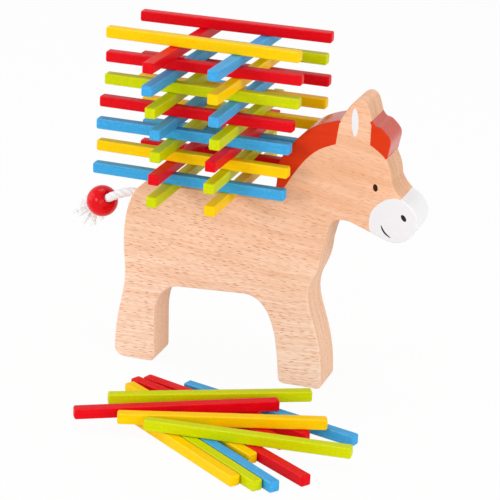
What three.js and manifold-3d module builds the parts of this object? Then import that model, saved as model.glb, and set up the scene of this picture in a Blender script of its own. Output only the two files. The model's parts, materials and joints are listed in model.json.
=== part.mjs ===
import * as THREE from 'three';
import { mergeVertices } from 'three/addons/utils/BufferGeometryUtils.js';
import Module from 'manifold-3d';

// Donkey balancing game: a sawn beech donkey with a cord tail, a tower of square sticks stacked
// crosswise on its back, and the sticks still to be played lying in a heap in front of it.
// Millimetres. The donkey looks along +X, +Y runs away from the player, +Z is up, the floor is z = 0.

// Sticks
const STICK_SIDE = 6.8;
const STICK_LENGTH = 126;
const STICK_CORNER_RADIUS = 0.8;
const STICK_END_ROUND = 0.5;
const REST_GAP = 0.2;
const LAYER_PITCH = STICK_SIDE + REST_GAP;

// Board of the donkey
const BOARD_THICKNESS = 28;
const BOARD_EDGE_ROUND = 1.2;
const BACK_HEIGHT = 120.8;
const BACK_REAR_X = -76;
const BACK_FRONT_X = -1;
const BELLY_HEIGHT = 54;
const BELLY_REAR_X = -54;
const BELLY_FRONT_X = -14;
const BELLY_RISE = 2.2;
const KNEE_DROP = 25;
const RUMP_X = -94.6;
const RUMP_Z = 82;
const THIGH_X = -93;
const THIGH_Z = 55;
const HIND_HEEL_X = -98.8;
const HIND_TOE_X = -71.2;
const FORE_HEEL_X = 12.4;
const FORE_TOE_X = 41.2;
const SOLE_CORNER = 4;
const HEEL_LIFT = 7;
const WAIST_X = 29.6;
const WAIST_Z = 62;
const THROAT_X = 40.4;
const THROAT_RISE = -13;

// Head, measured from the front end of the back
const MUZZLE_CENTRE = [82.5, -1.8];
const MUZZLE_RADIUS = 14.2;
const CHIN_ANGLE = THREE.MathUtils.degToRad(-108);
const NOSE_ANGLE = THREE.MathUtils.degToRad(59);
const JAW = [54, -6.6];
const BROW = [79.2, 22];
const FORELOCK_ROOT = [74.9, 35.8];
const FORELOCK_BULGE = [76.5, 48.4];
const FORELOCK_TOP = [71, 54.9];
const FORELOCK_DIP = [66.7, 56.5];
const EAR_FRONT_ROOT = [64.3, 59.4];
const EAR_TIP = [57.2, 71.5];
const EAR_REAR_ROOT = [44.4, 57];
const MANE_CREST = [32, 52.8];
const MANE_SHOULDER = [24, 47.6];
const MANE_BEND = [15.6, 38.8];
const MANE_NAPE = [7.4, 26];
const MANE_BASE = [6.2, 14];

// Cord tail with its bead
const CORD_DIAMETER = 5.9;
const CORD_CLEARANCE = 0.3;
const TAIL_HOLE_DEPTH = 12;
const TAIL_DROP = 13;
const TAIL_EXIT_INSET = 3.4;
const BEAD_DIAMETER = 20.4;
const BEAD_DROP = 11.8;
const BEAD_REACH = 26.9;
const BEAD_AWAY = 8;
const BEAD_TILT = THREE.MathUtils.degToRad(29);
const BEAD_TURN = THREE.MathUtils.degToRad(37.5);
const BEAD_HOLE_CHAMFER = 0.8;
const TUFT_STRANDS = 90;
const TUFT_LENGTH = 17;
const TUFT_SPREAD = THREE.MathUtils.degToRad(58);
const TUFT_BACKING = 2.5;
const STRAND_DIAMETER = 0.62;

// Tower: spread of its sticks, and how far the near and far sticks step back from layer to layer
const TOWER_X = -41;
const ACROSS_SPREAD = 39;
const NEAR_FIRST_Y = -30;
const NEAR_STEP = 2;
const FAR_FIRST_Y = 29;
const FAR_STEP = 1.1;

const COLOURS = {
  beech: 0xf0c49b,
  red: 0xe31b23,
  yellow: 0xffd000,
  green: 0xc3d600,
  blue: 0x3a9bd9,
  cotton: 0xf4f3ee,
};

// Tower layers from the back upward. Odd layers lie across the board, left stick then right;
// even layers lie along it, near stick then far. Each stick has its colour and how the hand left
// it: shift along X, shift along Y, turn in degrees.
const TOWER_LAYERS = [
  [['green', 1, 1.5, 0], ['yellow', -0.5, 1.5, 0]],
  [['blue', -5.5, 0, -1], ['red', 4, 0, 0]],
  [['red', 2, 2.5, -0.5], ['green', -1.5, 1.5, 0]],
  [['yellow', -4.5, 0.5, -1.5], ['blue', 5, -1, 0]],
  [['green', 1.5, 4, 0], ['red', -0.5, 1.5, -0.5]],
  [['blue', -5, 0, 0], ['yellow', 3, 1, 0]],
  [['blue', 1, 4, 0], ['green', 1.5, 1.5, -0.5]],
  [['red', -4, -0.5, -0.5], ['yellow', -0.5, 1, 0]],
  [['green', -1, 1.5, -0.5], ['blue', 0, 1.5, 0]],
  [['green', -2, 0.5, 0], ['red', 0, 2.5, 0]],
  [['blue', -2.5, 0, -1], ['yellow', 0.5, 1, -1.5]],
  [['red', -2, 0.5, 1], ['green', -2, 0.5, 0]],
  [['red', -2, 0.5, -1.5], ['blue', -0.5, 2.5, -1.5]],
  [['yellow', -4, 1, -1], ['red', 0, -1, 1.5]],
];

// Heap: sticks on the floor, then sticks lying over them: colour, middle X and Y, turn in degrees.
const HEAP_LAYERS = [
  [
    ['yellow', -14.1, -131.6, -36],
    ['green', -0.5, -132.2, -36],
    ['blue', 9.2, -129.8, -36],
    ['yellow', -15.9, -101, -33.6],
    ['red', 21.9, -117.1, -33.6],
    ['red', -10.6, -83, -24],
    ['red', -2.7, -72.6, -19.3],
    ['blue', 24.5, -68.3, -16.5],
  ],
  [
    ['green', -11.5, -75, 26.5],
    ['red', -24.1, -100, 30],
    ['yellow', 6.8, -105.5, 20],
    ['green', 28.5, -123.2, 5],
  ],
];

const wasm = await Module();
wasm.setup();

function closedGeometry(geometry) {
  const bare = geometry.clone();
  bare.deleteAttribute('normal');
  bare.deleteAttribute('uv');
  return mergeVertices(bare, 1e-4);
}

function toSolid(geometry) {
  const closed = closedGeometry(geometry);
  return new wasm.Manifold(new wasm.Mesh({
    numProp: 3,
    vertProperties: new Float32Array(closed.attributes.position.array),
    triVerts: new Uint32Array(closed.index.array),
  }));
}

function fromSolid(solid) {
  const mesh = solid.getMesh();
  const geometry = new THREE.BufferGeometry();
  geometry.setAttribute('position', new THREE.BufferAttribute(new Float32Array(mesh.vertProperties), 3));
  geometry.setIndex(new THREE.BufferAttribute(new Uint32Array(mesh.triVerts), 1));
  geometry.computeVertexNormals();
  return geometry;
}

function namedMesh(name, geometry, colour, roughness) {
  const material = new THREE.MeshStandardMaterial({ color: COLOURS[colour], roughness, metalness: 0 });
  const mesh = new THREE.Mesh(closedGeometry(geometry), material);
  mesh.name = name;
  return mesh;
}

// Side view of the donkey, drawn in X and Z, starting at the hind heel and running under the belly.
function donkeyOutline() {
  const outline = new THREE.Shape();
  const head = ([x, rise]) => new THREE.Vector2(BACK_FRONT_X + x, BACK_HEIGHT + rise);
  const through = (...points) => outline.splineThru(points.map(head));
  const knee = BELLY_HEIGHT - KNEE_DROP;

  outline.moveTo(HIND_HEEL_X, HEEL_LIFT);
  outline.quadraticCurveTo(HIND_HEEL_X, 0.5, HIND_HEEL_X + 2 * SOLE_CORNER, 0);
  outline.lineTo(HIND_TOE_X - SOLE_CORNER, 0);
  outline.quadraticCurveTo(HIND_TOE_X, 0, HIND_TOE_X, SOLE_CORNER);
  outline.lineTo(HIND_TOE_X - 0.6, knee);
  outline.bezierCurveTo(HIND_TOE_X - 0.6, BELLY_HEIGHT - 8, HIND_TOE_X + 5, BELLY_HEIGHT,
    BELLY_REAR_X, BELLY_HEIGHT);
  outline.lineTo(BELLY_FRONT_X, BELLY_HEIGHT + BELLY_RISE);
  outline.bezierCurveTo(BELLY_FRONT_X + 12, BELLY_HEIGHT + 2.8, FORE_HEEL_X - 7, BELLY_HEIGHT - 7,
    FORE_HEEL_X - 3.2, knee);
  outline.quadraticCurveTo(FORE_HEEL_X - 1.4, knee - 10, FORE_HEEL_X, SOLE_CORNER);
  outline.quadraticCurveTo(FORE_HEEL_X + 0.4, 0, FORE_HEEL_X + SOLE_CORNER, 0);
  outline.lineTo(FORE_TOE_X - SOLE_CORNER, 0);
  outline.quadraticCurveTo(FORE_TOE_X, 0, FORE_TOE_X, SOLE_CORNER);
  outline.bezierCurveTo(FORE_TOE_X - 0.6, WAIST_Z - 26, WAIST_X, WAIST_Z - 14, WAIST_X, WAIST_Z);
  outline.bezierCurveTo(WAIST_X, WAIST_Z + 12, THROAT_X - 4, BACK_HEIGHT - 45,
    THROAT_X - 3.4, BACK_HEIGHT - 27);
  outline.quadraticCurveTo(THROAT_X - 2, BACK_HEIGHT - 21, THROAT_X, BACK_HEIGHT + THROAT_RISE);

  const jaw = head(JAW);
  outline.bezierCurveTo(THROAT_X + 1, jaw.y + 0.2, THROAT_X + 6, jaw.y + 0.8, jaw.x, jaw.y);
  const muzzle = head(MUZZLE_CENTRE);
  outline.lineTo(muzzle.x + MUZZLE_RADIUS * Math.cos(CHIN_ANGLE),
    muzzle.y + MUZZLE_RADIUS * Math.sin(CHIN_ANGLE));
  outline.absarc(muzzle.x, muzzle.y, MUZZLE_RADIUS, CHIN_ANGLE, NOSE_ANGLE, false);
  const brow = head(BROW);
  const forelock = head(FORELOCK_ROOT);
  outline.quadraticCurveTo(brow.x + 3.5, brow.y - 7.9, brow.x, brow.y);
  outline.quadraticCurveTo(brow.x - 0.25, brow.y + 6.7, forelock.x, forelock.y);
  const curl = [FORELOCK_ROOT[0] + 0.8, FORELOCK_ROOT[1] + 4];
  through(curl, FORELOCK_BULGE, FORELOCK_TOP, FORELOCK_DIP, EAR_FRONT_ROOT);
  const tip = head(EAR_TIP);
  const rear = head(EAR_REAR_ROOT);
  outline.bezierCurveTo(tip.x + 5.8, tip.y - 8, tip.x + 4.6, tip.y - 0.6, tip.x, tip.y);
  outline.bezierCurveTo(tip.x - 4.8, tip.y + 0.9, tip.x - 9.6, tip.y - 8.2, rear.x, rear.y);
  const base = head(MANE_BASE);
  through(MANE_CREST, MANE_SHOULDER, MANE_BEND, MANE_NAPE, MANE_BASE);
  outline.quadraticCurveTo(base.x - 0.6, BACK_HEIGHT, BACK_FRONT_X, BACK_HEIGHT);

  outline.lineTo(BACK_REAR_X, BACK_HEIGHT);
  outline.bezierCurveTo(BACK_REAR_X - 12, BACK_HEIGHT, RUMP_X, BACK_HEIGHT - 16, RUMP_X, RUMP_Z);
  outline.bezierCurveTo(RUMP_X, RUMP_Z - 9, THIGH_X, THIGH_Z + 8, THIGH_X, THIGH_Z);
  outline.bezierCurveTo(THIGH_X - 1, THIGH_Z - 14, HIND_HEEL_X, THIGH_Z - 26, HIND_HEEL_X, HEEL_LIFT);
  return outline;
}

// Board extruded from the outline with rounded edges, standing on edge in the middle of Y.
function donkeyBoard() {
  const board = new THREE.ExtrudeGeometry(donkeyOutline(), {
    depth: BOARD_THICKNESS - 2 * BOARD_EDGE_ROUND,
    curveSegments: 7,
    bevelEnabled: true,
    bevelThickness: BOARD_EDGE_ROUND,
    bevelSize: BOARD_EDGE_ROUND,
    bevelOffset: -BOARD_EDGE_ROUND,
    bevelSegments: 2,
  });
  board.rotateX(Math.PI / 2);
  board.translate(0, BOARD_THICKNESS / 2 - BOARD_EDGE_ROUND, 0);
  return board;
}

const tailExitX = RUMP_X + TAIL_EXIT_INSET;
const tailHeight = BACK_HEIGHT - TAIL_DROP;
const beadCentre = new THREE.Vector3(tailExitX - BEAD_REACH, BEAD_AWAY, tailHeight - BEAD_DROP);
const beadHeading = new THREE.Vector3(-Math.cos(BEAD_TURN), Math.sin(BEAD_TURN), -Math.tan(BEAD_TILT));
const beadAxis = beadHeading.normalize();
const beadHoleRadius = CORD_DIAMETER / 2 + CORD_CLEARANCE;
const beadHalfLength = Math.sqrt((BEAD_DIAMETER / 2) ** 2 - (beadHoleRadius + BEAD_HOLE_CHAMFER) ** 2);
const alongBead = (distance) => beadCentre.clone().addScaledVector(beadAxis, distance);

// Blind hole in the rump that the cord is glued into.
function tailHole() {
  const reach = 12;
  const hole = new THREE.CylinderGeometry(beadHoleRadius, beadHoleRadius, TAIL_HOLE_DEPTH + reach, 20);
  hole.rotateZ(Math.PI / 2);
  hole.translate(tailExitX + (TAIL_HOLE_DEPTH - reach) / 2, 0, tailHeight);
  return hole;
}

// Cord from the bottom of its hole, over the rump's edge and down through the bead, bent to the far side.
function tailCord() {
  const straightBeforeBead = 3.5;
  const route = new THREE.CatmullRomCurve3([
    new THREE.Vector3(tailExitX + TAIL_HOLE_DEPTH - CORD_CLEARANCE, 0, tailHeight),
    new THREE.Vector3(tailExitX + 4, 0, tailHeight),
    new THREE.Vector3(tailExitX - 4, 0, tailHeight),
    new THREE.Vector3(tailExitX - 10.5, 0, tailHeight - 1.8),
    alongBead(-beadHalfLength - straightBeforeBead),
    alongBead(-beadHalfLength),
    alongBead(0),
    alongBead(beadHalfLength),
  ]);
  const section = new THREE.Shape().absarc(0, 0, CORD_DIAMETER / 2, 0, 2 * Math.PI);
  return new THREE.ExtrudeGeometry(section, { steps: 24, curveSegments: 5, extrudePath: route });
}

// Turned ball with a bore for the cord; its own axis is Y until the mesh is turned.
function bead() {
  const radius = BEAD_DIAMETER / 2;
  const mouth = beadHoleRadius + BEAD_HOLE_CHAMFER;
  const from = Math.atan2(-beadHalfLength, mouth);
  const steps = 14;
  const profile = [new THREE.Vector2(beadHoleRadius, -beadHalfLength + BEAD_HOLE_CHAMFER)];
  for (let i = 0; i <= steps; i += 1) {
    const angle = from - (2 * from * i) / steps;
    profile.push(new THREE.Vector2(radius * Math.cos(angle), radius * Math.sin(angle)));
  }
  profile.push(new THREE.Vector2(beadHoleRadius, beadHalfLength - BEAD_HOLE_CHAMFER));
  profile.push(profile[0].clone());
  return new THREE.LatheGeometry(profile, 28);
}

// One frayed strand: a three-sided taper from its root in the backing to its tip.
function strand(root, tip) {
  const length = root.distanceTo(tip);
  const geometry = new THREE.CylinderGeometry(STRAND_DIAMETER * 0.3, STRAND_DIAMETER / 2, length, 3);
  geometry.translate(0, length / 2, 0);
  const direction = tip.clone().sub(root).normalize();
  geometry.applyQuaternion(new THREE.Quaternion().setFromUnitVectors(new THREE.Vector3(0, 1, 0), direction));
  geometry.translate(root.x, root.y, root.z);
  return geometry;
}

// Frayed end of the cord: strands fan out of a slice of cord, the outer ones bent furthest. They
// are set on a sunflower spiral, so that none crosses another. Its axis is Y until it is turned.
function tuft() {
  const backing = new THREE.CylinderGeometry(CORD_DIAMETER / 2, CORD_DIAMETER / 2, TUFT_BACKING, 16);
  backing.translate(0, TUFT_BACKING / 2, 0);
  const goldenAngle = Math.PI * (3 - Math.sqrt(5));
  let solid = toSolid(backing);
  for (let i = 0; i < TUFT_STRANDS; i += 1) {
    const share = Math.sqrt((i + 0.5) / TUFT_STRANDS);
    const turn = i * goldenAngle;
    const rootRadius = share * (CORD_DIAMETER / 2 - STRAND_DIAMETER / 2);
    const away = new THREE.Vector3(Math.cos(turn), 0, Math.sin(turn));
    const root = away.clone().multiplyScalar(rootRadius).setY(TUFT_BACKING / 2);
    const bend = share * TUFT_SPREAD;
    const length = TUFT_LENGTH * (0.86 + 0.14 * Math.cos(7 * i));
    const out = away.clone().multiplyScalar(Math.sin(bend)).setY(Math.cos(bend));
    solid = solid.add(toSolid(strand(root, root.clone().addScaledVector(out, length))));
  }
  return fromSolid(solid);
}

// Square stick along X with rounded corners and ends, its middle at the origin.
function stick() {
  const half = STICK_SIDE / 2;
  const inner = half - STICK_CORNER_RADIUS;
  const section = new THREE.Shape();
  [[inner, inner], [-inner, inner], [-inner, -inner], [inner, -inner]].forEach(([x, y], corner) => {
    const start = (corner * Math.PI) / 2;
    section.absarc(x, y, STICK_CORNER_RADIUS, start, start + Math.PI / 2, false);
  });
  section.closePath();
  const geometry = new THREE.ExtrudeGeometry(section, {
    depth: STICK_LENGTH - 2 * STICK_END_ROUND,
    curveSegments: 1,
    bevelEnabled: true,
    bevelThickness: STICK_END_ROUND,
    bevelSize: STICK_END_ROUND,
    bevelOffset: -STICK_END_ROUND,
    bevelSegments: 1,
  });
  geometry.translate(0, 0, STICK_END_ROUND - STICK_LENGTH / 2);
  geometry.rotateY(Math.PI / 2);
  return geometry;
}

const stickGeometry = stick();

function placedStick(name, colour, x, y, bottom, turn) {
  const mesh = namedMesh(name, stickGeometry, colour, 0.42);
  mesh.position.set(x, y, bottom + STICK_SIDE / 2);
  mesh.rotation.z = THREE.MathUtils.degToRad(turn);
  return mesh;
}

function towerSticks() {
  const group = new THREE.Group();
  TOWER_LAYERS.forEach((layer, level) => {
    const across = level % 2 === 0;
    const step = (level - 1) / 2;
    const bottom = BACK_HEIGHT + REST_GAP + level * LAYER_PITCH;
    layer.forEach(([colour, shiftX, shiftY, turn], second) => {
      const side = across ? ['left', 'right'][second] : ['near', 'far'][second];
      const name = `tower_${String(level + 1).padStart(2, '0')}_${side}_${colour}`;
      const x = across ? TOWER_X + (second - 0.5) * ACROSS_SPREAD : TOWER_X;
      const alongY = second ? FAR_FIRST_Y + step * FAR_STEP : NEAR_FIRST_Y + step * NEAR_STEP;
      const y = across ? 0 : alongY;
      group.add(placedStick(name, colour, x + shiftX, y + shiftY, bottom, turn + (across ? 90 : 0)));
    });
  });
  return group;
}

function heapSticks() {
  const group = new THREE.Group();
  let count = 0;
  HEAP_LAYERS.forEach((layer, level) => layer.forEach(([colour, x, y, turn]) => {
    count += 1;
    const name = `heap_${String(count).padStart(2, '0')}_${colour}`;
    group.add(placedStick(name, colour, x, y, level * LAYER_PITCH, turn));
  }));
  return group;
}

function turnedTo(mesh, axis, position) {
  mesh.quaternion.setFromUnitVectors(new THREE.Vector3(0, 1, 0), axis);
  mesh.position.copy(position);
  return mesh;
}

const game = new THREE.Group();
const donkey = fromSolid(toSolid(donkeyBoard()).subtract(toSolid(tailHole())));
game.add(namedMesh('donkey_body', donkey, 'beech', 0.55), towerSticks(), heapSticks());

// The origin is the middle of the game's footprint, without the tail that swings behind it.
game.updateMatrixWorld(true);
const footprint = new THREE.Box3().setFromObject(game, true).getCenter(new THREE.Vector3());

game.add(namedMesh('tail_cord', tailCord(), 'cotton', 0.9));
game.add(turnedTo(namedMesh('tail_bead', bead(), 'red', 0.15), beadAxis, beadCentre));
game.add(turnedTo(namedMesh('tail_tuft', tuft(), 'cotton', 0.95), beadAxis,
  alongBead(beadHalfLength + CORD_CLEARANCE)));
game.position.set(-footprint.x, -footprint.y, 0);

export default game;
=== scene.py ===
"""Donkey balancing game: a painted beech donkey with a cord tail, a tower of coloured sticks on its back
and a heap of loose sticks in front. The sizes in millimetres are the ones of the CAD part."""
import json
import math
import random

import bpy
import numpy as np
from mathutils import Matrix, Vector, geometry


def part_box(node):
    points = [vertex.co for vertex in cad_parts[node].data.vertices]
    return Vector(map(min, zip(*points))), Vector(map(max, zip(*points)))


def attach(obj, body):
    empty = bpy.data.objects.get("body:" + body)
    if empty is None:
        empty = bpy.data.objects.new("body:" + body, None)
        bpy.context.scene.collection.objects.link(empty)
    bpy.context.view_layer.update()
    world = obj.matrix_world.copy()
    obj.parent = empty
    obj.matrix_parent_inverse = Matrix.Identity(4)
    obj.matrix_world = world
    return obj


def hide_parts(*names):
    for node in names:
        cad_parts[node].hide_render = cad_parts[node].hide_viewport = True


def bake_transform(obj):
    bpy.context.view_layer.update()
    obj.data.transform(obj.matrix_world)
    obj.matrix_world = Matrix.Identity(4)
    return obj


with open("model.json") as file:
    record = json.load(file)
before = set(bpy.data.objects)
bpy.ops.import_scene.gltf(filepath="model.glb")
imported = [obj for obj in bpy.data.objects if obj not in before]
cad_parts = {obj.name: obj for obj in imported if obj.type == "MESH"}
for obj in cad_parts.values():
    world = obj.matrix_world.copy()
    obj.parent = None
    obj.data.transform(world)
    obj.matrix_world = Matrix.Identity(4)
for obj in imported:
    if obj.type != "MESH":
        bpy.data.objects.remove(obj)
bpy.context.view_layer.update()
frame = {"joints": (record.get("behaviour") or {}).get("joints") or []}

MM = 0.001

# Board of the donkey, side view in X and Z from the floor under the tower
BOARD_THICKNESS = 28
EDGE_ROUND, EDGE_RINGS = 1.2, 7
BACK_HEIGHT = 120.8
BACK_REAR, BACK_FRONT = -76, -1
BELLY_HEIGHT, BELLY_RISE = 54, 2.2
BELLY_REAR, BELLY_FRONT = -54, -14
KNEE = BELLY_HEIGHT - 25
RUMP, THIGH = (-94.6, 82), (-93, 55)
HIND_HEEL, HIND_TOE = -98.8, -71.2
FORE_HEEL, FORE_TOE = 12.4, 41.2
SOLE_CORNER, HEEL_LIFT = 4, 7
WAIST = (29.6, 62)
THROAT = (40.4, 107.8)
JAW = (53, 114.2)
MUZZLE_CENTRE, MUZZLE_RADIUS = (81.5, 119), 14.2
CHIN_ANGLE, NOSE_ANGLE = math.radians(-108), math.radians(59)
BROW = (78.2, 142.8)
FORELOCK_ROOT, FORELOCK_CURL = (73.9, 156.6), (74.7, 160.6)
FORELOCK_BULGE, FORELOCK_TOP, FORELOCK_DIP = (75.5, 169.2), (70, 175.7), (65.7, 177.3)
EAR_FRONT, EAR_TIP, EAR_REAR = (63.3, 180.2), (56.2, 192.3), (43.4, 177.8)
MANE = [(31, 173.6), (23, 168.4), (14.6, 159.6), (6.4, 146.8), (5.2, 134.8)]

# Paint on both faces of the board: lines that start and end on the outline, and closed shapes
MANE_LINE = [(4.6, 123.4), (10.8, 131), (15.6, 139.4), (23.6, 150.7), (31.7, 157.9), (41.6, 162.6)]
MANE_EAR_LINE = [(42.4, 169.8), EAR_REAR]
FORELOCK_LINE = [(73.8, 157.2), (72.4, 158.6), (68.2, 161.9), (63.2, 165)]
FORELOCK_EAR_LINE = [(63.1, 172), EAR_FRONT]
MUZZLE_LINE = [(85.2, 133.7), (83.4, 133.3), (80.4, 133.4), (75, 131.6), (70.1, 127.8), (67.3, 124),
               (65.9, 120.2), (65.6, 114.8), (66.5, 109.5)]
EAR_SPOT, EAR_SPOT_SIZE, EAR_SPOT_LEAN = (52.9, 177.9), (2.1, 8.8), math.radians(3.5)
EYE, EYE_SIZE, EYE_LEAN = (68.2, 138.5), (1.5, 2.4), math.radians(12)
NOSTRIL, NOSTRIL_SIZE, NOSTRIL_LEAN = (87.1, 121.7), (1.35, 2.4), math.radians(35)
SMILE, SMILE_WIDTH = [(73.4, 115.2), (74.4, 110.6), (79.8, 108)], 1.1

# Material slots of the donkey. The paint of a face wraps round this many rings of the rounded edge.
# The white edge slot holds a paler white than the face: painted light on the muzzle's edge.
WOOD, MANE_PAINT, MANE_EDGE, WHITE_PAINT, BLACK_INK, BROWN_INK, WHITE_LIT_EDGE = range(7)
PAINT_WRAP = 4

# Sticks. A painted highlight makes their paint paler near their edges, from the first distance to the outside
# to the second.
STICK_LENGTH, STICK_SIDE, STICK_ROUND, STICK_END_ROUND = 126, 6.8, 0.8, 1.3
HIGHLIGHT_START, HIGHLIGHT_FULL = 0.75, 0.1

# Tail. The cord's strands turn once in a lay, and the thickness of each is a share of the cord's.
CORD_DIAMETER, CORD_LAY = 5.9, 15
CORD_STRANDS, CORD_STRAND_SHARE = 3, 0.78
BEAD_DIAMETER, BEAD_BORE, BEAD_MOUTH = 20.4, 6.5, 8.1
BEAD_SIDES = 72
TUFT_STRANDS, TUFT_LENGTH, TUFT_SPREAD = 300, 15, math.radians(50)
TUFT_LOCKS, TUFT_DROOP = 20, 0.12
FRAYED_DIAMETER, FRAYED_POINTS = 0.22, 9
GOLDEN_ANGLE = math.pi * (3 - math.sqrt(5))

# Distance between the points of a drawn line
OUTLINE_STEP = 0.6

# Photograph: where its camera stood, in metres, and how it was turned
CAMERA_PLACE = (0.40875, -1.2671, 0.5773)
CAMERA_TURN, CAMERA_DIP, CAMERA_ROLL = math.radians(17.5), math.radians(19.737), math.radians(2.706)
CAMERA_LENS, CAMERA_SENSOR = 167.46, 36

# Studio: half the paper's width in metres, how much of it is plain white to the eye, and the air's light
PAPER_HALF = 6
PAPER_WHITE = 0.94
AIR_LIGHT = 0.5

# The side view is drawn from under the tower: this carries it to its place in the frame.
body_low, body_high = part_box("donkey_body")
SIDE_VIEW_X = body_low.x - HIND_HEEL * MM
BOARD_MIDDLE_Y = (body_low.y + body_high.y) / 2

# The tail starts at its hinge, and the bead turns about its bore.
joint_called = {joint["name"]: joint for joint in frame["joints"]}
tail_exit = np.array(joint_called["tail_wag"]["pos_m"])
bead_centre = np.array(joint_called["bead_spin"]["pos_m"])
bead_axis = np.array(joint_called["bead_spin"]["axis"])
bead_half = math.sqrt((BEAD_DIAMETER / 2) ** 2 - (BEAD_MOUTH / 2) ** 2)


def colour(srgb):
    """Linear colour with alpha from an sRGB hex value."""
    parts = [int(srgb[i:i + 2], 16) / 255 for i in (1, 3, 5)]
    return [c / 12.92 if c <= 0.04045 else ((c + 0.055) / 1.055) ** 2.4 for c in parts] + [1]


def add(tree, kind, inputs, **settings):
    """Adds a node with its settings; an input is a value, or another node's output to link."""
    node = tree.nodes.new("ShaderNode" + kind)
    for name, value in settings.items():
        setattr(node, name, value)
    for name, value in inputs.items():
        if isinstance(value, bpy.types.NodeSocket):
            tree.links.new(value, node.inputs[name])
        else:
            node.inputs[name].default_value = value
    return node


def new_material(name):
    """An empty node material with its output, as (material, tree, surface input)."""
    material = bpy.data.materials.new(name)
    material.use_nodes = True
    tree = material.node_tree
    tree.nodes.clear()
    return material, tree, tree.nodes.new("ShaderNodeOutputMaterial").inputs["Surface"]


# Materials


def ray_flecks(tree, grain):
    """Strength of the flecks that the wood's rays leave on a flat face. Each row along the grain is cut
    into cells, every row from another start, and a cell holds one lens of its own length and strength."""
    # Rays are 0.2 mm wide on real beech; here a lens is 0.5 mm wide and up to 6 mm long to show at all.
    # A cell is 6.4 mm long and 1.3 mm wide.
    rows = add(tree, "Mapping", {"Vector": grain, "Scale": (1 / (6.4 * MM), 1, 1 / (1.3 * MM))})
    at = add(tree, "SeparateXYZ", {0: rows.outputs[0]}).outputs
    row = add(tree, "Math", {0: at[2]}, operation="FLOOR").outputs[0]
    start = add(tree, "TexWhiteNoise", {"W": row}, noise_dimensions="1D").outputs["Value"]
    along = add(tree, "Math", {0: at[0], 1: start}, operation="ADD").outputs[0]
    cell = add(tree, "Math", {0: along}, operation="FLOOR").outputs[0]
    own = add(tree, "CombineXYZ", {0: cell, 1: row})
    chance = add(tree, "TexWhiteNoise", {"Vector": own.outputs[0]}, noise_dimensions="2D")
    length, strength, rise = add(tree, "SeparateXYZ", {0: chance.outputs["Color"]}).outputs
    half_length = add(tree, "MapRange", {"Value": length, "To Min": 0.2, "To Max": 0.48})
    middle = add(tree, "MapRange", {"Value": rise, "To Min": 0.22, "To Max": 0.78})
    past = add(tree, "Math", {0: along}, operation="FRACT")
    beside = add(tree, "Math", {0: past.outputs[0], 1: 0.5}, operation="SUBTRACT")
    lengthwise = add(tree, "Math", {0: beside.outputs[0], 1: half_length.outputs[0]}, operation="DIVIDE")
    up = add(tree, "Math", {0: at[2]}, operation="FRACT")
    above = add(tree, "Math", {0: up.outputs[0], 1: middle.outputs[0]}, operation="SUBTRACT")
    crosswise = add(tree, "Math", {0: above.outputs[0], 1: 0.2}, operation="DIVIDE")
    lens = add(tree, "CombineXYZ", {0: lengthwise.outputs[0], 1: crosswise.outputs[0]})
    away = add(tree, "VectorMath", {0: lens.outputs[0]}, operation="LENGTH")
    shape = add(tree, "MapRange", {"Value": away.outputs["Value"], "From Min": 1, "From Max": 0.45})
    dark = add(tree, "MapRange", {"Value": strength, "From Min": 0.12, "To Max": 1})
    return add(tree, "Math", {0: shape.outputs[0], 1: dark.outputs[0]}, operation="MULTIPLY").outputs[0]


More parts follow.
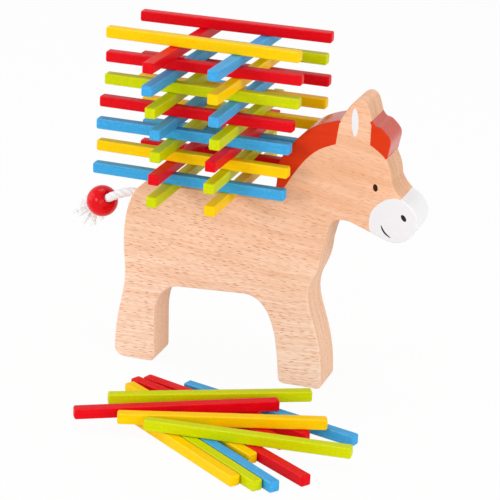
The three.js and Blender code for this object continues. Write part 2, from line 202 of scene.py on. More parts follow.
def beech_sanded_oiled():
    """Beech sawn along the grain, sanded and oiled. It gives the eye a pinkish tan, warmer up the board, with
    soft lengthwise bands, short fine flecks of the wood's rays, and darker end grain on the sawn fronts."""
    material, tree, surface = new_material("beech_sanded_oiled")
    whole = add(tree, "TexCoord", {})
    place = whole.outputs["Object"]
    # The grain is level in the legs, 40 mm up, falls towards the head by 11 degrees at the cheek, 140 mm up,
    # and wanders by about 2 mm over 45 mm of board.
    spot = add(tree, "SeparateXYZ", {0: place})
    height = spot.outputs[2]
    fall = add(tree, "MapRange", {"Value": height, "From Min": 40 * MM, "From Max": 140 * MM,
                                  "To Min": -0.02, "To Max": math.tan(math.radians(11))})
    level = add(tree, "Math", {0: spot.outputs[0], 1: fall.outputs[0], 2: height}, operation="MULTIPLY_ADD")
    lean = add(tree, "CombineXYZ", {0: spot.outputs[0], 1: spot.outputs[1], 2: level.outputs[0]}).outputs[0]
    drift = add(tree, "TexNoise", {"Vector": lean, "Scale": 1 / (45 * MM), "Detail": 1})
    sway = add(tree, "VectorMath", {0: drift.outputs["Color"], 1: (0.5, 0.5, 0.5)}, operation="SUBTRACT")
    shift = add(tree, "VectorMath", {0: sway.outputs[0], 1: (0, 0, 5 * MM)}, operation="MULTIPLY")
    grain = add(tree, "VectorMath", {0: lean, 1: shift.outputs[0]}, operation="ADD").outputs[0]

    # Growth bands 70 mm long and 7 mm wide, fibre streaks 28 mm long and 1 mm wide.
    bands_at = add(tree, "Mapping", {"Vector": grain, "Scale": (1 / (70 * MM), 1 / (12 * MM), 1 / (7 * MM))})
    bands = add(tree, "TexNoise", {"Vector": bands_at.outputs[0], "Scale": 1, "Detail": 3})
    fibres_at = add(tree, "Mapping", {"Vector": grain, "Scale": (1 / (28 * MM), 1 / (3 * MM), 1 / (1 * MM))})
    fibres = add(tree, "TexNoise", {"Vector": fibres_at.outputs[0], "Scale": 1, "Detail": 2})
    # Pores cut lengthwise are fine dashes of 4.8 mm by 0.6 mm here, drawn coarser than real to show. Pores
    # and ray flecks show on the flat faces only.
    pores_at = add(tree, "Mapping", {
        "Vector": grain, "Scale": (1 / (4.8 * MM), 1 / (2.5 * MM), 1 / (0.56 * MM))})
    long_pores = add(tree, "TexNoise", {"Vector": pores_at.outputs[0], "Scale": 1, "Detail": 1})
    pore_dash = add(tree, "MapRange", {"Value": long_pores.outputs["Fac"], "From Min": 0.52, "From Max": 0.73,
                                       "To Max": 0.2})
    dash = add(tree, "Math", {0: pore_dash.outputs[0], 1: ray_flecks(tree, grain)}, operation="MAXIMUM")
    facing = add(tree, "SeparateXYZ", {0: whole.outputs["Normal"]})
    sideways = add(tree, "Math", {0: facing.outputs[1], 1: facing.outputs[1]}, operation="MULTIPLY")
    flat = add(tree, "MapRange", {"Value": sideways.outputs[0], "From Min": 0.5, "From Max": 0.95})
    # They are fainter in the head, 150 mm up, than in the flank, 95 mm up.
    fade = add(tree, "MapRange", {"Value": height, "From Min": 95 * MM, "From Max": 150 * MM, "To Min": 1,
                                  "To Max": 0.5})
    shown = add(tree, "Math", {0: flat.outputs[0], 1: fade.outputs[0]}, operation="MULTIPLY")
    fleck = add(tree, "Math", {0: dash.outputs[0], 1: shown.outputs[0]}, operation="MULTIPLY")

    # The board is palest at the feet, 30 mm up, warmest at the cheek, 140 mm up, and paler at the ear.
    up = add(tree, "MapRange", {"Value": height, "From Min": 30 * MM, "From Max": 140 * MM})
    down = add(tree, "MapRange", {"Value": height, "From Min": 148 * MM, "From Max": 185 * MM,
                                  "To Max": 0.15})
    warmth = add(tree, "Math", {0: up.outputs[0], 1: down.outputs[0]}, operation="SUBTRACT")
    pale = add(tree, "Mix", {0: warmth.outputs[0], 6: colour("#fce1cd"), 7: colour("#f8c6a3")},
               data_type="RGBA")
    dark = add(tree, "Mix", {0: warmth.outputs[0], 6: colour("#f6d3b9"), 7: colour("#ecb088")},
               data_type="RGBA")
    band_mix = add(tree, "MapRange", {"Value": bands.outputs["Fac"], "From Min": 0.3, "From Max": 0.7})
    banded = add(tree, "Mix", {0: band_mix.outputs[0], 6: pale.outputs[2], 7: dark.outputs[2]},
                 data_type="RGBA")
    fibre_mix = add(tree, "MapRange", {"Value": fibres.outputs["Fac"], "From Min": 0.42, "From Max": 0.68,
                                       "To Max": 0.5})
    streaked = add(tree, "Mix", {0: fibre_mix.outputs[0], 6: banded.outputs[2], 7: colour("#e2a67e")},
                   data_type="RGBA")
    flecked = add(tree, "Mix", {0: fleck.outputs[0], 6: streaked.outputs[2], 7: colour("#bc6e40")},
                  data_type="RGBA")

    # End grain: growth rings cut across show as upright streaks 40 mm tall and 2.5 mm wide.
    rings_at = add(tree, "Mapping", {
        "Vector": place, "Scale": (1 / (60 * MM), 1 / (2.5 * MM), 1 / (40 * MM))})
    rings = add(tree, "TexNoise", {"Vector": rings_at.outputs[0], "Scale": 1, "Detail": 2})
    ring_mix = add(tree, "MapRange", {"Value": rings.outputs["Fac"], "From Min": 0.3, "From Max": 0.7})
    cut_low = add(tree, "Mix", {0: ring_mix.outputs[0], 6: colour("#f6ceb2"), 7: colour("#edbb96")},
                  data_type="RGBA")
    cut_high = add(tree, "Mix", {0: ring_mix.outputs[0], 6: colour("#e8b893"), 7: colour("#d69f76")},
                   data_type="RGBA")
    ringed = add(tree, "Mix", {0: warmth.outputs[0], 6: cut_low.outputs[2], 7: cut_high.outputs[2]},
                 data_type="RGBA")
    # Its pores are finer than 0.1 mm; they are drawn 0.5 mm wide to show at all.
    pores = add(tree, "TexNoise", {"Vector": place, "Scale": 1 / (1.1 * MM), "Detail": 1})
    pore_mix = add(tree, "MapRange", {"Value": pores.outputs["Fac"], "From Min": 0.5, "From Max": 0.72,
                                      "To Max": 0.4})
    cut = add(tree, "Mix", {0: pore_mix.outputs[0], 6: ringed.outputs[2], 7: colour("#b97c56")},
              data_type="RGBA")
    end = add(tree, "Math", {0: facing.outputs[0], 1: facing.outputs[0]}, operation="MULTIPLY")
    across = add(tree, "MapRange", {"Value": end.outputs[0], "From Min": 0.3, "From Max": 0.8})
    sawn = add(tree, "Mix", {0: across.outputs[0], 6: flecked.outputs[2], 7: cut.outputs[2]},
               data_type="RGBA")

    bump = add(tree, "Bump", {"Height": fleck.outputs[0], "Strength": 0.2, "Distance": 0.05 * MM},
               invert=True)
    roughness = add(tree, "MapRange", {"Value": fibres.outputs["Fac"], "To Min": 0.46, "To Max": 0.6})
    wood = add(tree, "BsdfPrincipled", {
        "Base Color": sawn.outputs[2], "Roughness": roughness.outputs[0], "Normal": bump.outputs[0],
        "IOR": 1.48, "Specular IOR Level": 0.3})
    tree.links.new(wood.outputs[0], surface)
    return material


def opaque_paint(name, face, deep, roughness, gloss=0.1):
    """Opaque paint printed on a sanded face, or brushed on an edge, where the mane's red is darker and
    glossier.
    The white on the muzzle's edge is paler than on the face: painted light. It gives the eye an even, silky
    colour with the faint lengthwise texture of the grain under it."""
    material, tree, surface = new_material(name)
    place = add(tree, "TexCoord", {}).outputs["Object"]
    # The wood's fibres, 14 mm long and 1.2 mm wide, still show under the film.
    fibres_at = add(tree, "Mapping", {
        "Vector": place, "Scale": (1 / (14 * MM), 1 / (4 * MM), 1 / (1.2 * MM))})
    fibres = add(tree, "TexNoise", {"Vector": fibres_at.outputs[0], "Scale": 1, "Detail": 3})
    film = add(tree, "Mix", {0: fibres.outputs["Fac"], 6: colour(face), 7: colour(deep)}, data_type="RGBA")
    bump = add(tree, "Bump", {"Height": fibres.outputs["Fac"], "Strength": 0.2, "Distance": 0.04 * MM})
    paint = add(tree, "BsdfPrincipled", {
        "Base Color": film.outputs[2], "Roughness": roughness, "Normal": bump.outputs[0], "IOR": 1.5,
        "Specular IOR Level": gloss})
    tree.links.new(paint.outputs[0], surface)
    return material


def stick_paint(name, face, deep, edge):
    """Water-based colour dipped onto a planed stick. It gives the eye a strong satin colour with a
    faint streak of grain, and a painted highlight that makes it a little paler along the rounded edges."""
    material, tree, surface = new_material(name)
    place = add(tree, "TexCoord", {}).outputs["Object"]
    each = add(tree, "ObjectInfo", {}).outputs["Random"]
    # Streaks are 25 mm long and 1.1 mm wide, and differ from stick to stick.
    streaks_at = add(tree, "Mapping", {
        "Vector": place, "Scale": (1 / (25 * MM), 1 / (1.1 * MM), 1 / (1.1 * MM))})
    another = add(tree, "Math", {0: each, 1: 40}, operation="MULTIPLY")
    streaks = add(tree, "TexNoise", {"Vector": streaks_at.outputs[0], "W": another.outputs[0], "Scale": 1,
                                     "Detail": 3}, noise_dimensions="4D")
    mottle = add(tree, "TexNoise", {"Vector": place, "W": another.outputs[0], "Scale": 1 / (1.6 * MM),
                                    "Detail": 2}, noise_dimensions="4D")
    tone = add(tree, "Math", {0: streaks.outputs["Fac"], 1: mottle.outputs["Fac"]}, operation="MULTIPLY")
    tone_mix = add(tree, "MapRange", {"Value": tone.outputs[0], "From Min": 0.12, "From Max": 0.42})
    film = add(tree, "Mix", {0: tone_mix.outputs[0], 6: colour(deep), 7: colour(face)}, data_type="RGBA")

    # A point on an edge is near the outside in two directions, one on a corner in all three.
    away = add(tree, "VectorMath", {0: place}, operation="ABSOLUTE")
    near = add(tree, "SeparateXYZ", {0: away.outputs[0]})
    lengthwise, sideways, upward = [
        add(tree, "MapRange", {"Value": reach, "From Min": (size / 2 - HIGHLIGHT_START) * MM,
                               "From Max": (size / 2 - HIGHLIGHT_FULL) * MM}).outputs[0]
        for reach, size in zip(near.outputs, (STICK_LENGTH, STICK_SIDE, STICK_SIDE))]
    two = add(tree, "Math", {0: sideways, 1: upward}, operation="ADD")
    three = add(tree, "Math", {0: two.outputs[0], 1: lengthwise}, operation="ADD")
    edges = add(tree, "Math", {0: three.outputs[0], 1: 1}, operation="SUBTRACT", use_clamp=True)
    # Painted highlight: the colour turns paler on the edges and corners, in patches.
    painted_highlight = add(tree, "Math", {0: edges.outputs[0], 1: mottle.outputs["Fac"]}, operation="MULTIPLY")
    highlighted = add(tree, "Mix", {0: painted_highlight.outputs[0], 6: film.outputs[2], 7: colour(edge)}, data_type="RGBA")

    bump = add(tree, "Bump", {"Height": streaks.outputs["Fac"], "Strength": 0.25, "Distance": 0.06 * MM})
    roughness = add(tree, "MapRange", {"Value": mottle.outputs["Fac"], "To Min": 0.28, "To Max": 0.42})
    paint = add(tree, "BsdfPrincipled", {
        "Base Color": highlighted.outputs[2], "Roughness": roughness.outputs[0], "Normal": bump.outputs[0],
        "IOR": 1.5, "Specular IOR Level": 0.08})
    tree.links.new(paint.outputs[0], surface)
    return material


def bead_lacquer():
    """Red lacquer sprayed in coats on a turned ball. It gives the eye a deep red under clear, sharp
    highlights, with the faint ripple that sprayed lacquer dries to."""
    material, tree, surface = new_material("lacquer_sprayed_gloss_red")
    place = add(tree, "TexCoord", {}).outputs["Object"]
    # Ripples of sprayed lacquer are about 1.5 mm across.
    ripple = add(tree, "TexNoise", {"Vector": place, "Scale": 1 / (1.5 * MM), "Detail": 1})
    red = add(tree, "Mix", {0: ripple.outputs["Fac"], 6: colour("#dc0010"), 7: colour("#e90414")},
              data_type="RGBA")
    bump = add(tree, "Bump", {"Height": ripple.outputs["Fac"], "Strength": 0.015, "Distance": 0.02 * MM})
    lacquer = add(tree, "BsdfPrincipled", {
        "Base Color": red.outputs[2], "Roughness": 0.4, "IOR": 1.5, "Specular IOR Level": 0, "Coat Weight": 1,
        "Coat IOR": 1.25, "Coat Roughness": 0.12, "Coat Normal": bump.outputs[0]})
    tree.links.new(lacquer.outputs[0], surface)
    return material


def white_cotton(name, pale, deep, fuzz):
    """White cotton, spun and twisted or frayed. It gives the eye a soft matt white that light enters a
    little, with a fuzz of fine fibres that lightens its rim, the more so where the cord is frayed."""
    material, tree, surface = new_material(name)
    place = add(tree, "TexCoord", {}).outputs["Object"]
    # Yarns are about 0.4 mm thick; they show as a fine unevenness.
    yarns = add(tree, "TexNoise", {"Vector": place, "Scale": 1 / (0.8 * MM), "Detail": 3})
    white = add(tree, "Mix", {0: yarns.outputs["Fac"], 6: colour(deep), 7: colour(pale)},
                data_type="RGBA")
    bump = add(tree, "Bump", {"Height": yarns.outputs["Fac"], "Strength": 0.4, "Distance": 0.15 * MM})
    cotton = add(tree, "BsdfPrincipled", {
        "Base Color": white.outputs[2], "Roughness": 0.9, "Normal": bump.outputs[0], "IOR": 1.5,
        "Subsurface Weight": 0.3, "Subsurface Radius": (1, 1, 1), "Subsurface Scale": 1 * MM,
        "Sheen Weight": fuzz, "Sheen Roughness": 0.5})
    tree.links.new(cotton.outputs[0], surface)
    return material


def seen_directly(tree):
    """1 for what the camera sees, also in gloss and through glass, and 0 for what only lights the object."""
    rays = add(tree, "LightPath", {})
    seen = add(tree, "Math", {0: rays.outputs["Is Camera Ray"], 1: rays.outputs["Is Glossy Ray"]},
               operation="MAXIMUM")
    through = add(tree, "Math", {0: seen.outputs[0], 1: rays.outputs["Is Transmission Ray"]},
                  operation="MAXIMUM")
    return through.outputs[0]


def pale_paper():
    """Seamless studio paper. It gives the eye an even white that still takes a faint soft shadow."""
    material, tree, surface = new_material("paper_seamless_white")
    share = add(tree, "Math", {0: seen_directly(tree), 1: PAPER_WHITE}, operation="MULTIPLY")
    matt = add(tree, "BsdfDiffuse", {"Color": colour("#f4f3f1")})
    white = add(tree, "Emission", {"Color": (1, 1, 1, 1), "Strength": 1})
    paper = add(tree, "MixShader", {0: share.outputs[0], 1: matt.outputs[0], 2: white.outputs[0]})
    tree.links.new(paper.outputs[0], surface)
    return material


# Meshes


def new_piece(name, vertices, faces, materials, face_materials=None, normals=None):
    """A smooth-shaded mesh object from its points in metres."""
    mesh = bpy.data.meshes.new(name)
    mesh.from_pydata([tuple(v) for v in vertices], [], faces)
    for material in materials:
        mesh.materials.append(material)
    if face_materials is not None:
        mesh.polygons.foreach_set("material_index", face_materials)
    mesh.polygons.foreach_set("use_smooth", [True] * len(mesh.polygons))
    if normals is not None:
        mesh.normals_split_custom_set_from_vertices([tuple(n) for n in normals])
    mesh.update()
    piece = bpy.data.objects.new(name, mesh)
    bpy.context.scene.collection.objects.link(piece)
    return piece


def run_on(line, *controls):
    """Carries a line on along the Bezier curve with these control points, the last one its end."""
    poly = np.array([line[-1], *controls], float)
    length = np.linalg.norm(np.diff(poly, axis=0), axis=1).sum()
    for t in np.linspace(0, 1, math.ceil(length / OUTLINE_STEP) + 1)[1:]:
        points = poly
        while len(points) > 1:
            points = points[:-1] * (1 - t) + points[1:] * t
        line.append(points[0])


def run_through(line, *points):
    """Carries a line on along a smooth curve through these points."""
    knots = np.array([line[-1], *points], float)
    for i in range(len(knots) - 1):
        before, after = knots[max(i - 1, 0)], knots[min(i + 2, len(knots) - 1)]
        here, there = knots[i], knots[i + 1]
        run_on(line, here + (there - before) / 6, there - (after - here) / 6, there)


def donkey_side_view():
    """Points round the donkey, in millimetres in X and Z, from the hind heel on under the belly."""
    line = [np.array([HIND_HEEL, HEEL_LIFT], float)]
    run_on(line, (HIND_HEEL, 0.5), (HIND_HEEL + 2 * SOLE_CORNER, 0))
    run_on(line, (HIND_TOE - SOLE_CORNER, 0))
    run_on(line, (HIND_TOE, 0), (HIND_TOE, SOLE_CORNER))
    run_on(line, (HIND_TOE - 0.6, KNEE))
    run_on(line, (HIND_TOE - 0.6, BELLY_HEIGHT - 8), (HIND_TOE + 5, BELLY_HEIGHT), (BELLY_REAR, BELLY_HEIGHT))
    run_on(line, (BELLY_FRONT, BELLY_HEIGHT + BELLY_RISE))
    run_on(line, (BELLY_FRONT + 12, BELLY_HEIGHT + 2.8), (FORE_HEEL - 7, BELLY_HEIGHT - 7),
           (FORE_HEEL - 3.2, KNEE))
    run_on(line, (FORE_HEEL - 1.4, KNEE - 10), (FORE_HEEL, SOLE_CORNER))
    run_on(line, (FORE_HEEL + 0.4, 0), (FORE_HEEL + SOLE_CORNER, 0))
    run_on(line, (FORE_TOE - SOLE_CORNER, 0))
    run_on(line, (FORE_TOE, 0), (FORE_TOE, SOLE_CORNER))
    run_on(line, (FORE_TOE - 0.6, WAIST[1] - 26), (WAIST[0], WAIST[1] - 14), WAIST)
    neck = (THROAT[0] - 3.4, BACK_HEIGHT - 27)
    run_on(line, (WAIST[0], WAIST[1] + 12), (THROAT[0] - 4, BACK_HEIGHT - 45), neck)
    run_on(line, (THROAT[0] - 2, BACK_HEIGHT - 21), THROAT)
    run_on(line, (THROAT[0] + 1, JAW[1] + 0.2), (THROAT[0] + 6, JAW[1] + 0.8), JAW)
    round_nose = np.linspace(CHIN_ANGLE, NOSE_ANGLE, 73)
    nose = [(MUZZLE_CENTRE[0] + MUZZLE_RADIUS * math.cos(a), MUZZLE_CENTRE[1] + MUZZLE_RADIUS * math.sin(a))
            for a in round_nose]
    run_on(line, nose[0])
    line.extend(np.array(p) for p in nose[1:])
    run_on(line, (BROW[0] + 3.5, BROW[1] - 7.9), BROW)
    run_on(line, (BROW[0] - 0.25, BROW[1] + 6.7), FORELOCK_ROOT)
    run_through(line, FORELOCK_CURL, FORELOCK_BULGE, FORELOCK_TOP, FORELOCK_DIP, EAR_FRONT)
    tip_x, tip_z = EAR_TIP
    run_on(line, (tip_x + 5.8, tip_z - 8), (tip_x + 4.6, tip_z - 0.6), EAR_TIP)
    run_on(line, (tip_x - 4.8, tip_z + 0.9), (tip_x - 9.6, tip_z - 8.2), EAR_REAR)
    run_through(line, *MANE)
    run_on(line, (MANE[-1][0] - 0.6, BACK_HEIGHT), (BACK_FRONT, BACK_HEIGHT))
    run_on(line, (BACK_REAR, BACK_HEIGHT))
    run_on(line, (BACK_REAR - 12, BACK_HEIGHT), (RUMP[0], BACK_HEIGHT - 16), RUMP)
    run_on(line, (RUMP[0], RUMP[1] - 9), (THIGH[0], THIGH[1] + 8), THIGH)
    run_on(line, (THIGH[0] - 1, THIGH[1] - 14), (HIND_HEEL, THIGH[1] - 26), (HIND_HEEL, HEEL_LIFT))
    return np.array(line[:-1])


def outward(line):
    """Unit normals of a closed line that runs anticlockwise."""
    before, after = line - np.roll(line, 1, axis=0), np.roll(line, -1, axis=0) - line
    along = before / np.linalg.norm(before, axis=1)[:, None] + after / np.linalg.norm(after, axis=1)[:, None]
    along /= np.linalg.norm(along, axis=1)[:, None]
    return np.stack([along[:, 1], -along[:, 0]], axis=1)


def inside(points, loop):
    """Which points lie inside a closed loop."""
    x, z = points[:, 0][:, None], points[:, 1][:, None]
    a, b = loop, np.roll(loop, -1, axis=0)
    crosses = (a[:, 1] > z) != (b[:, 1] > z)
    rise = np.where(b[:, 1] == a[:, 1], 1e-12, b[:, 1] - a[:, 1])
    return (crosses & (x < a[:, 0] + (z - a[:, 1]) * (b[:, 0] - a[:, 0]) / rise)).sum(1) % 2 == 1


def oval(centre, size, lean, count=40):
    """Points round an oval that leans clockwise from upright."""
    turn = np.linspace(0, 2 * math.pi, count, endpoint=False)
    x, z = size[0] * np.cos(turn), size[1] * np.sin(turn)
    return np.stack([centre[0] + x * math.cos(lean) - z * math.sin(lean),
                     centre[1] + x * math.sin(lean) + z * math.cos(lean)], axis=1)


def brush_line(start, bend, end, width):
    """Points round a curved line drawn with a brush, thin at both ends."""
    t = np.linspace(0, 1, 20)[:, None]
    middle = np.array(start) * (1 - t) ** 2 + 2 * np.array(bend) * t * (1 - t) + np.array(end) * t ** 2
    along = np.gradient(middle, axis=0)
    along /= np.linalg.norm(along, axis=1)[:, None]
    half_width = width / 2 * np.sqrt(np.clip(4 * t * (1 - t), 0.08, 1))
    side = np.stack([-along[:, 1], along[:, 0]], axis=1) * half_width
    return np.concatenate([middle + side, (middle - side)[::-1]])


def painted_donkey(wood, mane, mane_edge, white, ink, eye_brown, lit_white_edge):
    """The board with rounded edges and its painted mane, forelock, muzzle and face on both sides."""
    outline = donkey_side_view()
    normals = outward(outline)
    count = len(outline)
    face_loop = outline - normals * EDGE_ROUND

    def nearest(point):
        return int(np.linalg.norm(outline - np.array(point), axis=1).argmin())

    def painted_patch(first_line, second_line=()):
        """The points of a paint line inside the face, and the two points of the outline that it joins."""
        line = [np.array(first_line[0], float)]
        run_through(line, *first_line[1:])
        if second_line:
            run_through(line, *second_line)
        start, end = nearest(line[0]), nearest(line[-1])
        inner = [p for p in line[1:-1] if inside(p[None], face_loop)[0]
                 and np.linalg.norm(face_loop - p, axis=1).min() > 0.3]
        return inner, start, end

    points = [tuple(p) for p in face_loop]
    edges = [(i, (i + 1) % count) for i in range(count)]
    patches = []
    rim_paint = np.full(count, WOOD)
    face_of_rim = {MANE_EDGE: MANE_PAINT, WHITE_LIT_EDGE: WHITE_PAINT}
    for first_line, second_line, paint, rim in [(MANE_LINE, MANE_EAR_LINE, MANE_PAINT, MANE_EDGE),
                                                (FORELOCK_LINE, FORELOCK_EAR_LINE, MANE_PAINT, MANE_EDGE),
                                                (MUZZLE_LINE, (), WHITE_PAINT, WHITE_LIT_EDGE)]:
        inner, start, end = painted_patch(first_line, second_line)
        first = len(points)
        points += [tuple(p) for p in inner]
        chain = [start, *range(first, len(points)), end]
        edges += list(zip(chain, chain[1:]))
        # The painted stretch of the outline is the shorter way round between the two ends.
        low, high = min(start, end), max(start, end)
        loop = np.array([points[i] for i in chain])
        rest = face_loop[low:high + 1]
        patches.append((np.concatenate([loop, rest if start == high else rest[::-1]]), paint))
        rim_paint[low:high] = rim
    for shape, paint in [(oval(EAR_SPOT, EAR_SPOT_SIZE, EAR_SPOT_LEAN), WHITE_PAINT),
                         (oval(EYE, EYE_SIZE, EYE_LEAN), BROWN_INK),
                         (oval(NOSTRIL, NOSTRIL_SIZE, NOSTRIL_LEAN), BLACK_INK),
                         (brush_line(*SMILE, SMILE_WIDTH), BLACK_INK)]:
        first = len(points)
        points += [tuple(p) for p in shape]
        edges += [(first + i, first + (i + 1) % len(shape)) for i in range(len(shape))]
        patches.append((shape, paint))

    flat, _, triangles, origins, _, _ = geometry.delaunay_2d_cdt(
        [Vector(p) for p in points], edges, [], 0, 1e-6)
    flat = np.array([tuple(p) for p in flat])
    middles = np.array([flat[list(t)].mean(0) for t in triangles])
    kept = inside(middles, face_loop)
    paints = np.full(len(triangles), WOOD)
    for loop, paint in patches:
        paints[inside(middles, loop)] = paint

    # Rings across the board's thickness: round edge, flat rim, round edge.
    quarter = np.linspace(0, math.pi / 2, EDGE_RINGS)
    half = BOARD_THICKNESS / 2
    rings = [(EDGE_ROUND * (1 - math.sin(a)), -half + EDGE_ROUND * (1 - math.cos(a)),
              math.sin(a), -math.cos(a)) for a in quarter]
    rings += [(inset, -y, out, -lean) for inset, y, out, lean in reversed(rings)]
    vertices, vertex_normals = [], []

    def put(x, y, z, normal):
        vertices.append((SIDE_VIEW_X + x * MM, BOARD_MIDDLE_Y + y * MM, z * MM))
        vertex_normals.append(normal)
        return len(vertices) - 1

    for inset, y, out, lean in rings:
        for (x, z), (nx, nz) in zip(outline - normals * inset, normals):
            put(x, y, z, (nx * out, lean, nz * out))
    faces, face_paints = [], []
    for ring in range(len(rings) - 1):
        for i in range(count):
            a, b = ring * count + i, ring * count + (i + 1) % count
            faces.append((a, a + count, b + count, b))
            wrapped = rim_paint[i] != WOOD and not PAINT_WRAP <= ring <= len(rings) - 2 - PAINT_WRAP
            face_paints.append(face_of_rim[rim_paint[i]] if wrapped else rim_paint[i])
    for side, last in ((-1, 0), (1, len(rings) - 1)):
        at = {}
        for i, (x, z) in enumerate(flat):
            own = [o for o in origins[i] if o < count]
            at[i] = last * count + own[0] if own else put(x, side * half, z, (0, side, 0))
        for triangle, keep, paint in zip(triangles, kept, paints):
            if keep:
                corner = [at[i] for i in triangle]
                (ax, az), (bx, bz), (cx, cz) = flat[list(triangle)]
                anticlockwise = (bx - ax) * (cz - az) - (bz - az) * (cx - ax) > 0
                faces.append(corner if anticlockwise == (side < 0) else corner[::-1])
                face_paints.append(paint)
    finishes = [wood, mane, mane_edge, white, ink, eye_brown, lit_white_edge]
    piece = new_piece("donkey_painted", vertices, faces, finishes, face_paints, vertex_normals)
    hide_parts("donkey_body")
    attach(piece, "donkey")
    return piece


def stick_mesh():
    """A planed square stick along X with rounded edges and rounder ends, its middle at the origin."""
    quarter = np.linspace(0, math.pi / 2, 5)

    def section(x, half):
        inner = half - STICK_ROUND
        return [(x, inner * math.cos(k) - inner * math.sin(k) + STICK_ROUND * math.cos(k + a),
                 inner * math.sin(k) + inner * math.cos(k) + STICK_ROUND * math.sin(k + a))
                for k in np.arange(4) * math.pi / 2 for a in quarter]

    near_end = [section(-STICK_LENGTH / 2 + STICK_END_ROUND * (1 - math.cos(a)),
                        STICK_SIDE / 2 - STICK_END_ROUND * (1 - math.sin(a)))
                for a in np.linspace(0, math.pi / 2, 6)]
    rings = near_end + [[(-x, y, z) for x, y, z in ring] for ring in reversed(near_end)]
    around = len(rings[0])
    faces = [(i * around + k, (i + 1) * around + k, (i + 1) * around + (k + 1) % around,
              i * around + (k + 1) % around) for i in range(len(rings) - 1) for k in range(around)]
    faces.append(tuple(range(around)))
    faces.append(tuple(range(len(rings) * around - 1, (len(rings) - 1) * around - 1, -1)))
    mesh = bpy.data.meshes.new("planed_stick")
    mesh.from_pydata([(x * MM, y * MM, z * MM) for ring in rings for x, y, z in ring], [], faces)
    mesh.polygons.foreach_set("use_smooth", [True] * len(mesh.polygons))
    mesh.update()
    return mesh


def lay_sticks(paints):
    """A finished stick in the place of each CAD stick, turned along the way that stick slides."""
    plain = stick_mesh()
    meshes = {}
    for name, paint in paints.items():
        meshes[name] = plain.copy()
        meshes[name].name = "planed_stick_" + name
        meshes[name].materials.append(paint)
    for joint in frame["joints"]:
        node = joint["child"]
        if not node.startswith(("tower_", "heap_")):
            continue
        low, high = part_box(node)
        along = Vector(joint["axis"]).normalized()
        piece = bpy.data.objects.new("stick_" + node, meshes[node.rsplit("_", 1)[1]])
        bpy.context.scene.collection.objects.link(piece)
        turn = Matrix((along, Vector((0, 0, 1)).cross(along), (0, 0, 1))).transposed().to_4x4()
        piece.matrix_world = Matrix.Translation((low + high) / 2) @ turn
        crisp = piece.modifiers.new("even_shading", "WEIGHTED_NORMAL")
        crisp.keep_sharp = False
        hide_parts(node)
        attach(piece, node)


def frames_along(path):
    """Tangent and two cross directions at each point of a path, without twist."""
    tangents = np.gradient(path, axis=0)
    tangents /= np.linalg.norm(tangents, axis=1)[:, None]
    side = np.cross(tangents[0], (0, 1, 0) if abs(tangents[0][1]) < 0.9 else (1, 0, 0))
    sides = []
    for tangent in tangents:
        side = side - tangent * side.dot(tangent)
        side /= np.linalg.norm(side)
        sides.append(side)
    sides = np.array(sides)
    return tangents, sides, np.cross(tangents, sides)


def tube(path, radii, around):
    """Points and faces of a closed tube along a path, with a radius at each of its points."""
    _, sides, ups = frames_along(path)
    turns = np.linspace(0, 2 * math.pi, around, endpoint=False)
    ring = np.cos(turns)[None, :, None] * sides[:, None] + np.sin(turns)[None, :, None] * ups[:, None]
    points = (path[:, None] + ring * np.asarray(radii)[:, None, None]).reshape(-1, 3)
    faces = [(i * around + k, i * around + (k + 1) % around, (i + 1) * around + (k + 1) % around,
              (i + 1) * around + k) for i in range(len(path) - 1) for k in range(around)]
    faces.append(tuple(range(around - 1, -1, -1)))
    faces.append(tuple(range((len(path) - 1) * around, len(path) * around)))
    return points, faces


def joined(tubes):
    """Several tubes as one list of points and one of faces."""
    points, faces = [], []
    for some_points, some_faces in tubes:
        first = len(points)
        points.extend(some_points)
        faces.extend(tuple(first + i for i in face) for face in some_faces)
    return points, faces


def bead_frame():
    """Unit directions along the bead's bore and across it."""
    axis = bead_axis / np.linalg.norm(bead_axis)
    side = np.cross(axis, (0, 0, 1))
    side /= np.linalg.norm(side)
    return axis, side, np.cross(axis, side)


def cord_route():
    """Points down the middle of the cord, from inside the rump to the bead's far mouth."""
    knots = [tail_exit + np.array([4, 0, 0]) * MM, tail_exit - np.array([4, 0, 0]) * MM,
             tail_exit - np.array([10.5, 0, 1.8]) * MM, bead_centre - bead_axis * (bead_half + 3.5) * MM,
             bead_centre - bead_axis * bead_half * MM, bead_centre, bead_centre + bead_axis * bead_half * MM]
    line = [np.array(knots[0]) / MM]
    run_through(line, *(k / MM for k in knots[1:]))
    return np.array(line) * MM


def twisted_cord(cotton):
    """Three cotton strands laid round each other, from the rump through the bead."""
    route = cord_route()
    along = np.concatenate([[0], np.cumsum(np.linalg.norm(np.diff(route, axis=0), axis=1))])
    _, sides, ups = frames_along(route)
    strand_radius = CORD_DIAMETER * MM / 2 * CORD_STRAND_SHARE
    tubes = []
    for strand in range(CORD_STRANDS):
        turn = 2 * math.pi * (along / (CORD_LAY * MM) + strand / CORD_STRANDS)
        offset = np.cos(turn)[:, None] * sides + np.sin(turn)[:, None] * ups
        middle = route + offset * (CORD_DIAMETER * MM / 2 - strand_radius)
        tubes.append(tube(middle, np.full(len(route), strand_radius), 14))
    piece = new_piece("tail_cord_twisted", *joined(tubes), [cotton])
    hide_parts("tail_cord")
    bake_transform(piece)
    return piece, route, along[-1]


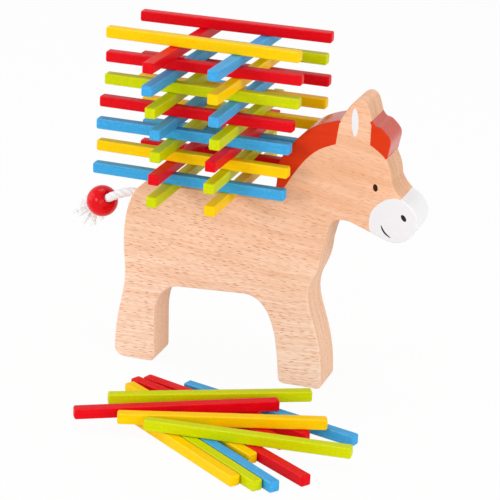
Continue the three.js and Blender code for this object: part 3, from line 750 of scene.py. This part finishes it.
def lacquered_bead(lacquer):
    """A turned ball with a bore and a softened mouth at both ends."""
    radius, bore, mouth = BEAD_DIAMETER / 2, BEAD_BORE / 2, BEAD_MOUTH / 2
    start = math.atan2(-bead_half, mouth)
    ball = [(radius * math.cos(a), radius * math.sin(a)) for a in np.linspace(start, -start, 49)]
    lip = mouth - bore
    soft = np.linspace(0, math.pi / 2, 6)
    lower = [(bore + lip * (1 - math.cos(a)), -bead_half + lip * (1 - math.sin(a))) for a in soft]
    profile = lower + ball[1:-1] + [(r, -h) for r, h in reversed(lower)]
    axis, side, up = bead_frame()
    turns = np.linspace(0, 2 * math.pi, BEAD_SIDES, endpoint=False)
    vertices = [bead_centre + (axis * h + (side * math.cos(t) + up * math.sin(t)) * r) * MM
                for r, h in profile for t in turns]
    rows, around = len(profile), BEAD_SIDES
    faces = [(i * around + k, i * around + (k + 1) % around, (i + 1) % rows * around + (k + 1) % around,
              (i + 1) % rows * around + k) for i in range(rows) for k in range(around)]
    piece = new_piece("bead_lacquered", vertices, faces, [lacquer])
    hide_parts("tail_bead")
    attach(piece, "bead")
    return piece


def frayed_tuft(cotton):
    """The cord's frayed end: fine strands in locks that fan out of the bead and curl a little."""
    chance = random.Random(11)
    root = bead_centre + bead_axis * (bead_half + 0.3) * MM
    axis, side, up = bead_frame()
    locks = [(math.sqrt((k + 0.5) / TUFT_LOCKS), k * GOLDEN_ANGLE, chance.uniform(0.7, 1))
             for k in range(TUFT_LOCKS)]
    tubes = []
    for i in range(TUFT_STRANDS):
        lock_share, lock_turn, lock_length = locks[i % TUFT_LOCKS]
        stray, stray_turn = chance.uniform(-0.13, 0.13), chance.uniform(-0.32, 0.32)
        length = TUFT_LENGTH * lock_length * chance.uniform(0.75, 0.98)
        curl, phase = chance.uniform(0.2, 0.7), chance.uniform(0, 2 * math.pi)
        points = []
        for t in np.linspace(0, 1, FRAYED_POINTS):
            # Strands of a lock start apart and draw together towards its tip.
            share = max(lock_share + stray * (1 - 0.5 * t), 0)
            turn = lock_turn + stray_turn * (1 - 0.5 * t)
            away = side * math.cos(turn) + up * math.sin(turn)
            across = np.cross(axis, away)
            lean = share * TUFT_SPREAD * (0.55 + 0.45 * t)
            wave = curl * t * math.sin(5 * t + phase)
            step = (axis * math.cos(lean) + away * math.sin(lean)) * length * t
            droop = np.array([0, 0, -TUFT_DROOP * length * t * t])
            start = away * share * (CORD_DIAMETER / 2 - 0.4)
            points.append(root + (start + step + across * wave + droop) * MM)
        radii = FRAYED_DIAMETER / 2 * MM * np.linspace(1, 0.6, FRAYED_POINTS)
        tubes.append(tube(np.array(points), radii, 5))
    piece = new_piece("tuft_frayed", *joined(tubes), [cotton])
    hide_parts("tail_tuft")
    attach(piece, "tail")
    return piece


# Studio


def photo_camera():
    """The camera at the photograph's place: on the near side, past the nose, looking down at the game."""
    right = Vector((math.cos(CAMERA_TURN), math.sin(CAMERA_TURN), 0))
    ahead = Vector((-math.sin(CAMERA_TURN) * math.cos(CAMERA_DIP),
                    math.cos(CAMERA_TURN) * math.cos(CAMERA_DIP), -math.sin(CAMERA_DIP)))
    down = ahead.cross(right)
    image_right = right * math.cos(CAMERA_ROLL) - down * math.sin(CAMERA_ROLL)
    image_down = right * math.sin(CAMERA_ROLL) + down * math.cos(CAMERA_ROLL)
    lens = bpy.data.cameras.new("photo_camera")
    lens.sensor_fit, lens.sensor_width, lens.lens = "HORIZONTAL", CAMERA_SENSOR, CAMERA_LENS
    camera = bpy.data.objects.new("photo_camera", lens)
    bpy.context.scene.collection.objects.link(camera)
    turned = Matrix((image_right, -image_down, -ahead)).transposed().to_4x4()
    camera.matrix_world = Matrix.Translation(CAMERA_PLACE) @ turned
    bpy.context.scene.camera = camera


def softbox(name, place, aim, width, watts):
    """A square soft light at a place in metres, turned to a point."""
    lamp = bpy.data.lights.new(name, "AREA")
    lamp.size, lamp.energy = width, watts
    light = bpy.data.objects.new(name, lamp)
    bpy.context.scene.collection.objects.link(light)
    turned = (Vector(aim) - Vector(place)).to_track_quat("-Z", "Y").to_matrix().to_4x4()
    light.matrix_world = Matrix.Translation(place) @ turned


def studio():
    """White paper floor, soft white surroundings and five softboxes."""
    half = PAPER_HALF
    corners = [(-half, -half, 0), (half, -half, 0), (half, half, 0), (-half, half, 0)]
    new_piece("paper_floor", corners, [(0, 1, 2, 3)], [pale_paper()])
    world = bpy.data.worlds.new("studio_air")
    bpy.context.scene.world = world
    world.use_nodes = True
    tree = world.node_tree
    tree.nodes.clear()
    air = add(tree, "Background", {"Color": (1, 1, 1, 1), "Strength": AIR_LIGHT})
    white = add(tree, "Background", {"Color": (1, 1, 1, 1), "Strength": 1})
    both = add(tree, "MixShader", {0: seen_directly(tree), 1: air.outputs[0], 2: white.outputs[0]})
    tree.links.new(both.outputs[0], tree.nodes.new("ShaderNodeOutputWorld").inputs["Surface"])
    middle = (0, 0, 0.1)
    softbox("key_front_left", (-0.95, -1.6, 0.67), middle, 0.6, 8.2)
    softbox("front_low", (0.35, -1.7, 0.35), middle, 1.0, 5.3)
    softbox("top_soft", (-0.4, 0.3, 1.65), middle, 0.8, 5.5)
    softbox("fill_right", (1.6, -0.5, 0.7), middle, 1.2, 13)
    softbox("fill_left", (-1.6, -0.3, 0.6), middle, 1.2, 7)


def make_game():
    """The camera and the cord first, then the donkey, the sticks and the studio."""
    photo_camera()
    cord, route, cord_length = twisted_cord(white_cotton("cotton_twisted_white", "#f8f5f8", "#eeeaed", 0.3))
    bead = lacquered_bead(bead_lacquer())
    tuft = frayed_tuft(white_cotton("cotton_frayed_white", "#fffdfd", "#faf6f6", 1))
    painted_donkey(beech_sanded_oiled(), opaque_paint("paint_printed_mane_red", "#e03a10", "#d23108", 0.45),
                   opaque_paint("paint_brushed_mane_edge", "#d63e1c", "#b63014", 0.22, 0.35),
                   opaque_paint("paint_printed_white", "#ebe9ed", "#e8e6ea", 0.3, 0.4),
                   opaque_paint("ink_printed_black", "#2c2625", "#241f1e", 0.5),
                   opaque_paint("ink_printed_brown", "#43190c", "#381409", 0.45),
                   # On the muzzle's edge the white is paler than on the face: painted light.
                   opaque_paint("paint_white_edge_painted_light", "#f1f0f2", "#eeedef", 0.3, 0.4))
    # The last colour of each stick paint is the painted highlight on its edges.
    lay_sticks({"red": stick_paint("colour_dipped_red", "#e90a1a", "#d90414", "#f2484f"),
                "yellow": stick_paint("colour_dipped_yellow", "#fdd100", "#f9c600", "#ffe14a"),
                "green": stick_paint("colour_dipped_lime", "#d4dc00", "#c5d000", "#e2e84a"),
                "blue": stick_paint("colour_dipped_blue", "#4aaee8", "#389edb", "#84c8ee")})
    studio()
    bpy.context.scene.view_settings.view_transform = "Standard"


make_game()
